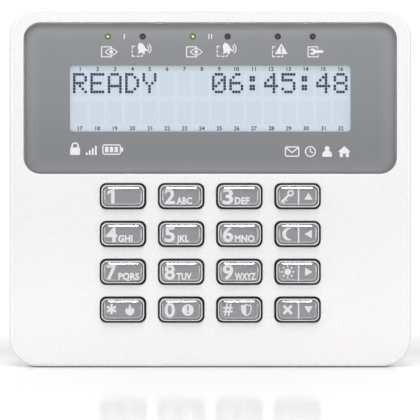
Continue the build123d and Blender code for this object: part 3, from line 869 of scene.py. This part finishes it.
def gap_shade_sheet():
    """Dark lining of the key openings, so that the gap round each key reads as deep shade."""
    bm = bmesh.new()
    for key in KEYS:
        lo, hi = box_mm(key + "_cap")
        cx, cz = (lo.x + hi.x) / 2, (lo.z + hi.z) / 2
        loops = []
        for inset, depth in ((0.004, 18.4), (0.004, 20.42), (0.05, 20.42), (0.05, 18.4)):
            pts = rounded(15.9 - 2 * inset, 8.9 - 2 * inset, 2.25 - inset, 8, cx, cz)
            loops.append([bm.verts.new(P(x, z, depth)) for x, z in pts])
        loops.append(loops[0])
        for a, b in zip(loops, loops[1:]):
            k = len(a)
            for i in range(k):
                bm.faces.new((a[i], a[(i + 1) % k], b[(i + 1) % k], b[i]))
    ob = new_object("key_gap_shade_sheet", bm, M["gap_shade_sheet"])
    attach(ob, "front")


gap_shade_sheet()


def core_front(key):
    lo, _ = box_mm(key + "_core")
    return -lo.y


WIDTHS = {"ABC": 5.3, "DEF": 5.1, "GHI": 4.9, "JKL": 4.35, "MNO": 6.8, "PQRS": 7.2, "TUV": 5.2, "WXYZ": 7.3}


def legend(bm, what, x, z, d):
    if what == "up":
        flat_shape(bm, [(x, z + 1.25), (x - 1.45, z - 1.2), (x + 1.45, z - 1.2)], d)
    elif what == "down":
        flat_shape(bm, [(x, z - 1.25), (x - 1.45, z + 1.2), (x + 1.45, z + 1.2)], d)
    elif what == "left":
        flat_shape(bm, [(x - 1.35, z), (x + 1.15, z + 1.45), (x + 1.15, z - 1.45)], d)
    elif what == "right":
        flat_shape(bm, [(x + 1.35, z), (x - 1.15, z + 1.45), (x - 1.15, z - 1.45)], d)
    elif what == "cross":
        a, b = 1.75, 0.68
        quarter = [(b, 0), (a, a - b), (a - b, a), (0, b)]
        pts = []
        for k in range(4):
            t = math.radians(90 * k)
            pts += [(x + p * math.cos(t) - q * math.sin(t), z + p * math.sin(t) + q * math.cos(t)) for p, q in quarter[:3]]
        flat_shape(bm, pts, d)
    elif what == "moon":
        outer = arc(x + 0.35, z, 2.2, 62, 298, 24)
        inner = arc(x + 1.25, z, 1.75, 252, 108, 20)
        inner = [(a - 0.1, b) for a, b in inner]
        flat_shape(bm, outer + inner, d)
    elif what == "sun":
        flat_shape(bm, disc(x, z, 1.15, 28), d)
        for i in range(8):
            a = math.radians(45 * i)
            flat_shape(bm, disc(x + 1.95 * math.cos(a), z + 1.95 * math.sin(a), 0.34, 12), d, 0.018)
    elif what == "key":
        ring_shape(bm, disc(x + 1.0, z + 1.05, 1.15, 24), disc(x + 1.0, z + 1.05, 0.55, 24), d)
        stroke(bm, [(x + 0.25, z + 0.3), (x - 1.9, z - 1.85)], 0.72, d, thick=0.018)
        stroke(bm, [(x - 1.7, z - 1.65), (x - 1.1, z - 2.25)], 0.55, d, thick=0.017)
        stroke(bm, [(x - 0.95, z - 0.9), (x - 0.4, z - 1.45)], 0.55, d, thick=0.016)
    elif what == "star":
        for a in (90, 150, 210, 270, 330, 390):
            r = math.radians(a)
            c, q = math.cos(r), math.sin(r)
            flat_shape(bm, [(x + c * u - q * v, z + q * u + c * v) for u, v in ((0.0, -0.3), (1.75, -0.46), (1.75, 0.46), (0.0, 0.3))], d)
    elif what == "hash":
        for s in (-0.62, 0.62):
            stroke(bm, [(x + s - 0.42, z - 2.1), (x + s + 0.42, z + 2.1)], 0.6, d, round_ends=False)
            stroke(bm, [(x - 1.6, z + s * 1.05), (x + 1.6, z + s * 1.05)], 0.6, d, thick=0.018, round_ends=False)
    elif what == "flame":
        flat_shape(bm, [(x, z - 2.0), (x - 0.8, z - 1.65), (x - 1.55, z - 0.75), (x - 1.5, z + 0.1), (x - 1.05, z + 0.85),
                        (x - 0.62, z + 0.15), (x - 0.35, z + 1.2), (x + 0.05, z + 2.2), (x + 0.42, z + 1.2), (x + 0.62, z + 0.2),
                        (x + 1.05, z + 0.95), (x + 1.5, z + 0.1), (x + 1.55, z - 0.75), (x + 0.8, z - 1.65)], d)
    elif what == "alert":
        # a filled disc with an exclamation mark left open: two half discs round it
        left = arc(x, z, 2.0, 98, 262, 24)
        flat_shape(bm, left + [(x - 0.26, z - 1.5), (x - 0.26, z + 1.5)], d)
        flat_shape(bm, [(2 * x - a, b) for a, b in left + [(x - 0.26, z - 1.5), (x - 0.26, z + 1.5)]], d)
        for z0, z1 in ((1.35, 1.99), (-0.35, -0.72), (-1.3, -1.99)):
            flat_shape(bm, [(x - 0.28, z + z0), (x + 0.28, z + z0), (x + 0.28, z + z1), (x - 0.28, z + z1)], d, 0.018)
    elif what == "shield":
        half = [(0.0, 2.05), (0.7, 1.75), (1.75, 1.65), (1.85, 0.6), (1.5, -0.9), (0.9, -1.6), (0.0, -2.15)]
        flat_shape(bm, [(x - a, z + b) for a, b in half], d)
        stroke(bm, [(x + a * 0.93, z + b * 0.93) for a, b in half], 0.36, d, thick=0.018)


for key, (main, side) in KEYS.items():
    cx, cz = make_cap(key)
    d = core_front(key) + 0.012
    bm = bmesh.new()
    if main == "1":
        x0, z0 = cx - 4.0, cz - 2.5
        flat_shape(bm, [(x0 - 0.1, z0), (x0 + 1.1, z0), (x0 + 1.1, z0 + 4.95), (x0 + 0.2, z0 + 4.95), (x0 - 1.35, z0 + 4.1),
                        (x0 - 1.35, z0 + 3.05), (x0 - 0.1, z0 + 3.65)], d)
    elif main in "1234567890" and len(main) == 1:
        letters(bm, main, cx - 3.92, cz - 2.5, 4.8, d, 0.2, fit=3.6 if main != "4" else 3.9)
        if side == "alert":
            legend(bm, side, cx + 2.3, cz - 0.1, d)
        elif side:
            letters(bm, side, cx - 1.6, cz - 2.63, 2.15, d, 0.135, align="LEFT", fit=WIDTHS[side], space=1.05)
    elif main in ("star", "hash"):
        legend(bm, main, cx - 3.95, cz + (0.2 if main == "star" else 0.0), d)
        legend(bm, side, cx + 2.35, cz - 0.1, d)
    else:
        legend(bm, main, cx - 3.4, cz, d)
        legend(bm, side, cx + 3.75, cz, d)
        flat_shape(bm, rounded(0.5, 5.9, 0.1, 2, cx + 0.35, cz - 0.1), d)
    ob = new_object(key + "_legend", bm, M["ink_key"])
    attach(ob, key)


# ------------------------------------------------------------------ board detail, on the side toward the wall
def board_detail():
    rear = box_mm("main_pcb")[1].y * -1.0
    d = rear - 0.024
    tracks, pads, ink = bmesh.new(), bmesh.new(), bmesh.new()
    mc = centre_mm("microcontroller")
    tb = centre_mm("terminal_block")
    bz = centre_mm("buzzer")
    cap = centre_mm("filter_capacitor")
    tam = centre_mm("tamper_switch")

    def track(pts, w=0.34):
        stroke(tracks, pts, w, d, thick=0.012)

    def via(x, z, r=0.42):
        ring_shape(pads, disc(x, z, r, 16), disc(x, z, r * 0.45, 16), d, 0.016)

    for i in range(11):
        o = (i - 5) * 0.8
        # left of the chip: a bus across the board; right: short stubs; up and down: fan-outs
        zb = mc[1] - 16 + i * 0.9
        track([(mc[0] - 6.2, mc[1] + o), (mc[0] - 8.5 - 0.7 * i, mc[1] + o), (mc[0] - 8.5 - 0.7 * i, zb), (-30 + 1.4 * i, zb)])
        via(-30 + 1.4 * i, zb)
        track([(mc[0] + 6.2, mc[1] + o), (mc[0] + 9.0 + 0.6 * (i % 4), mc[1] + o)])
        via(mc[0] + 9.4 + 0.6 * (i % 4), mc[1] + o)
        track([(mc[0] + o, mc[1] + 6.2), (mc[0] + o, mc[1] + 9.5 + 0.9 * (i % 3)), (mc[0] + o - 3.0, mc[1] + 12.5 + 0.9 * (i % 3))])
        via(mc[0] + o - 3.0, mc[1] + 12.9 + 0.9 * (i % 3))
        track([(mc[0] + o, mc[1] - 6.2), (mc[0] + o, mc[1] - 18.0 - 1.1 * i), (mc[0] + 8.0 + o, mc[1] - 26.0 - 1.1 * i)])
        via(mc[0] + 8.0 + o, mc[1] - 26.4 - 1.1 * i)
    for i in range(6):
        x = tb[0] - 8.75 + 3.5 * i
        flat_shape(pads, disc(x, tb[1] - 4.9, 0.95, 20), d, 0.014)
        track([(x, tb[1] + 4.5), (x, tb[1] + 9 + 1.2 * i), (x - 12.0, tb[1] + 21 + 1.2 * i)], 0.6)
        via(x - 12.0, tb[1] + 21.4 + 1.2 * i, 0.5)
    for i in range(8):
        flat_shape(pads, disc(-17.5 + 5 * i, 50.0, 0.8, 20), d, 0.014)
        track([(-17.5 + 5 * i, 50.0), (-17.5 + 5 * i, 46.0 - i * 0.8), (-26.0 + 2.0 * i, 38.0 - i * 0.8)])
    for r in range(3):
        for c in range(7):
            via(-54 + c * 3.1, -8.0 - 4.2 * r)
    for x, z, w, h in ((tb[0], tb[1], 24.0, 10.4), (mc[0], mc[1], 13.6, 13.6), (tam[0], tam[1], 11.0, 11.0)):
        stroke(ink, rounded(w, h, 0.3, 2, x, z), 0.22, d, closed=True, thick=0.018, round_ends=False)
    for x, z, r in ((bz[0], bz[1], 6.9), (cap[0], cap[1], 3.9)):
        ring_shape(ink, disc(x, z, r, 40), disc(x, z, r - 0.22, 40), d, 0.018)
    flat_shape(ink, disc(mc[0] - 7.6, mc[1] + 7.6, 0.4, 14), d, 0.018)
    stroke(ink, [(cap[0] + 5.0, cap[1] - 0.9), (cap[0] + 5.0, cap[1] + 0.9)], 0.25, d, thick=0.018)
    stroke(ink, [(cap[0] + 4.1, cap[1]), (cap[0] + 5.9, cap[1])], 0.25, d, thick=0.017)
    for bm, name, mat, slot in ((tracks, "board_tracks", "track", "board_green"), (pads, "board_pads", "tin", "board_green"),
                                (ink, "board_outlines", "ink_white", "board_green")):
        ob = new_object(name, bm, M[mat])
        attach(ob, "front")


board_detail()


def plate_detail():
    """Moulded marks on the inside of the wall plate: an arrow for the top, and ribs round the cable opening."""
    bm = bmesh.new()
    d = 2.2
    flat_shape(bm, [(0, 47.0), (-3.4, 42.6), (-1.3, 42.6), (-1.3, 37.0), (1.3, 37.0), (1.3, 42.6), (3.4, 42.6)], d - 0.02, 0.22)
    for z in (-33.0, -37.0, -41.0, -45.0):
        stroke(bm, [(-24.0, z), (24.0, z)], 0.8, d - 0.02, thick=0.22)
    ob = new_object("plate_marks", bm, M["base"])
    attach(ob, "base")


plate_detail()

# ------------------------------------------------------------------ tamper spring, which stretches between the front and its plunger
def make_spring():
    lo, hi = box_mm("tamper_spring")
    cx, cz = (lo.x + hi.x) / 2, (lo.z + hi.z) / 2
    r, wire = (hi.x - lo.x) / 2 - 0.2, 0.2
    d0, d1 = -hi.y + wire, -lo.y - wire
    n, turns, k = 130, 4.0, 8
    bm = bmesh.new()
    loops = []
    for i in range(n + 1):
        t = i / n
        a = 2 * math.pi * turns * t
        c = Vector((cx + r * math.cos(a), -(d0 + (d1 - d0) * t), cz + r * math.sin(a))) * MM
        out = Vector((math.cos(a), 0, math.sin(a)))
        up = Vector((0, -1, 0))
        loops.append([bm.verts.new(c + (out * math.cos(2 * math.pi * j / k) + up * math.sin(2 * math.pi * j / k)) * wire * MM) for j in range(k)])
    for a, b in zip(loops, loops[1:]):
        for j in range(k):
            bm.faces.new((a[j], a[(j + 1) % k], b[(j + 1) % k], b[j]))
    bm.faces.new(loops[0])
    bm.faces.new(list(reversed(loops[-1])))
    bmesh.ops.recalc_face_normals(bm, faces=bm.faces)
    ob = new_object("tamper_spring_coil", bm, M["steel"], 60)
    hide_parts("tamper_spring")
    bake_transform(ob)


make_spring()

# ------------------------------------------------------------------ floor, backdrop, light and camera
FLOOR_Z = CAD_LOW.z


FLOOR_GLOW, BACK_GLOW = 0.075, 0.36


def make_stage():
    bm = bmesh.new()
    prof = []
    # a floor that turns up into a backdrop far behind
    for y, z in [(-2.5, 0.0), (0.9, 0.0)]:
        prof.append((y, z))
    for i in range(1, 13):
        a = math.radians(90 * i / 12)
        prof.append((0.9 + 0.9 * math.sin(a), 0.9 * (1 - math.cos(a))))
    prof.append((1.8, 3.0))
    rows = [[bm.verts.new(Vector((x, y, FLOOR_Z + z))) for y, z in prof] for x in (-3.0, 3.0)]
    for i in range(len(prof) - 1):
        bm.faces.new((rows[0][i], rows[1][i], rows[1][i + 1], rows[0][i + 1]))
    bmesh.ops.recalc_face_normals(bm, faces=bm.faces)
    m = Mat("floor_white")
    col = m.ramp(m.noise(3.0, 2.0), [(0.3, (0.855, 0.855, 0.855, 1)), (0.7, (0.865, 0.865, 0.865, 1))])
    sep = m.add("ShaderNodeSeparateXYZ")
    m.link(m.coords(), sep.inputs[0])
    # glossy only round the foot of the object, matt farther out
    fy = m.math("ADD", sep.outputs[1], 0.06)
    away = m.math("SQRT", m.math("ADD", m.math("MULTIPLY", sep.outputs[0], sep.outputs[0]), m.math("MULTIPLY", fy, fy)))
    rough = m.math("ADD", m.remap(m.noise(40.0), 0.1, 0.14), m.remap(away, 0.0, 0.65, 0.085, 0.16))
    p = m.principled(Base_Color=col, Roughness=rough, IOR=1.3, Emission_Color=(1, 1, 1, 1))
    # painted shade: the floor's glow fades out towards the object's foot, so the floor round the foot is darker
    near = m.remap(m.math("ABSOLUTE", m.math("ADD", sep.outputs[1], 0.005)), 0.0, FLOOR_GLOW, 0.0, 0.17)
    far = m.remap(sep.outputs[1], 0.0, BACK_GLOW, 0.05, 0.7)
    m.link(m.math("ADD", near, far), p.inputs["Emission Strength"])
    ob = new_object("floor", bm, m.done(p), 60)


make_stage()


def area(name, loc, target, size, power, colour=(1, 1, 1), size_y=None, spread=None):
    li = bpy.data.lights.new(name, "AREA")
    li.shape = "RECTANGLE"
    li.size = size
    li.size_y = size_y or size
    li.energy = power
    li.color = colour
    if spread:
        li.spread = math.radians(spread)
    ob = bpy.data.objects.new(name, li)
    ob.location = loc
    ob.rotation_mode = "QUATERNION"
    ob.rotation_quaternion = (Vector(target) - Vector(loc)).to_track_quat("-Z", "Y")
    ob.visible_camera = False
    bpy.context.scene.collection.objects.link(ob)
    return ob


area("softbox_top", (0.0, -0.25, 0.55), (0, -0.01, 0), 0.28, 2.1, size_y=0.2)
area("softbox_left", (-0.57, -0.24, 0.08), (0, -0.01, 0), 0.24, 0.38, size_y=0.4)
area("softbox_right", (0.57, -0.24, 0.08), (0, -0.01, 0), 0.24, 0.38, size_y=0.4)

world = bpy.data.worlds.new("studio")
bpy.context.scene.world = world
world.use_nodes = True
wt = world.node_tree
bg = wt.nodes["Background"]
bg.inputs["Color"].default_value = (1.0, 1.0, 1.0, 1.0)
bg.inputs["Strength"].default_value = 0.6

cam_data = bpy.data.cameras.new("camera")
cam = bpy.data.objects.new("camera", cam_data)
bpy.context.scene.collection.objects.link(cam)
CAM_Z = -7.85
DISTANCE = 430.0
cam.location = P(-0.09, CAM_Z, 20.5 + DISTANCE)
cam.rotation_euler = (math.radians(90), 0, 0)
cam_data.sensor_width = 36.0
cam_data.lens = 36.0 * DISTANCE / (420 * 0.34382)
cam_data.clip_start = 0.01
cam_data.clip_end = 20.0
bpy.context.scene.camera = cam

bpy.context.scene.view_settings.view_transform = "Standard"
bpy.context.scene.view_settings.look = "None"
